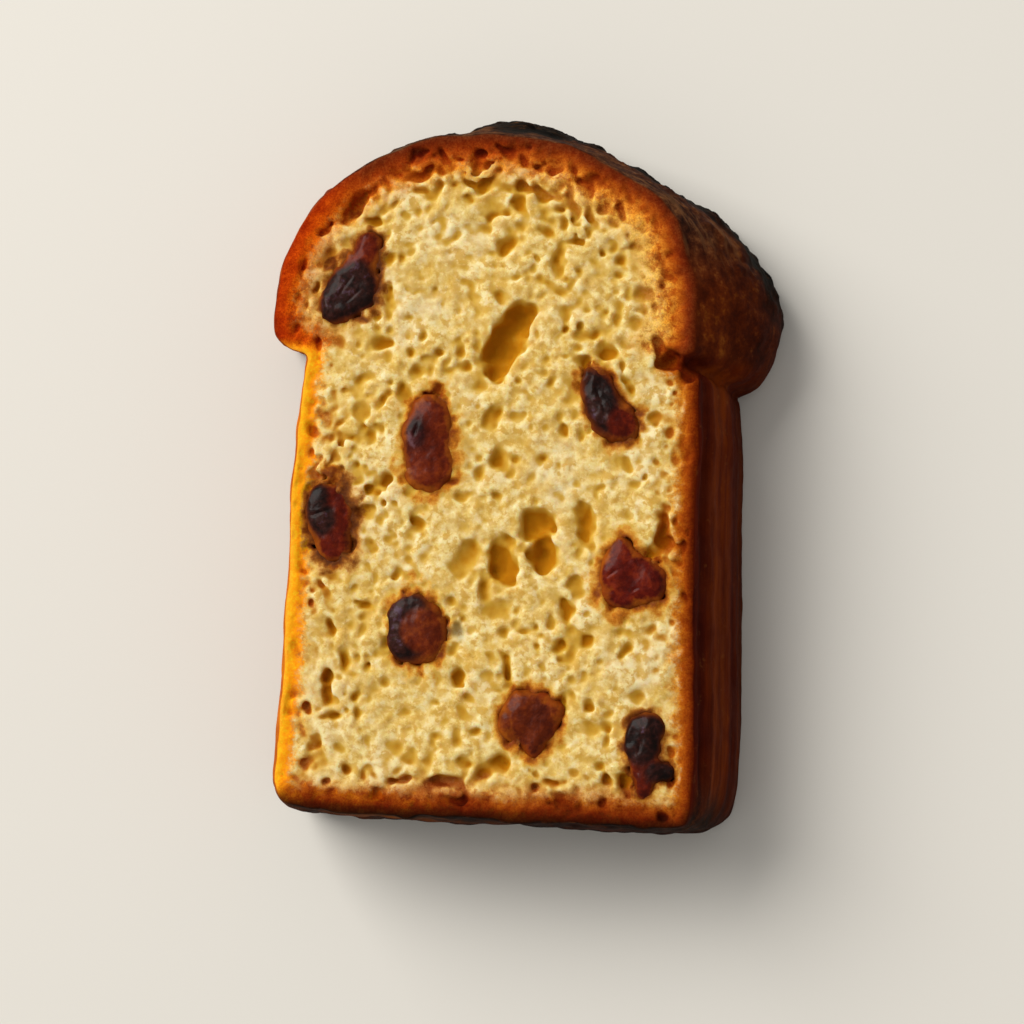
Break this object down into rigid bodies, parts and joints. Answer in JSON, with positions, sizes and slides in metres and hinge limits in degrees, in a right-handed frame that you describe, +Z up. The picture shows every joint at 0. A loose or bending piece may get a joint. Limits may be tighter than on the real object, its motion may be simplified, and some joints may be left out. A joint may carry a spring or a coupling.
{
  "type": "panettone slice",
  "caption": "Thick slice of panettone with domed top, dark crust, airy yellow crumb, and raisins and candied fruit set in both cut faces; it lies on its rear cut face.",
  "frame": {"origin": "middle of the bounding box's footprint, at the height of the rear cut face that the slice lies on", "axes": "+Y from the flat baked bottom to the crown of the dome, +X to the right when looking down at the front cut face, +Z up out of the front cut face"},
  "size_m": [0.1108, 0.154, 0.0354],
  "materials": {
    "bread": "airy yellow crumb, matte; crust from orange through red-brown to nearly black on the crown, matte to slightly shiny",
    "raisin": "dark purple to black wrinkled skin, moist and glossy",
    "candied_fruit": "amber to red-brown, translucent and glazed"
  },
  "bodies": {
    "root": {"bread_slice": "bread", "raisin_upper_left": "raisin", "candied_fruit_upper_middle": "candied_fruit", "raisin_upper_right": "raisin", "raisin_left": "raisin", "candied_fruit_right": "candied_fruit", "raisin_lower_left": "raisin", "candied_fruit_bottom": "candied_fruit", "raisin_lower_right": "raisin", "raisin_rear_top": "raisin", "candied_fruit_rear_left": "candied_fruit", "raisin_rear_middle": "raisin", "candied_fruit_rear_right": "candied_fruit", "raisin_rear_bottom": "raisin"}
  },
  "joints": []
}
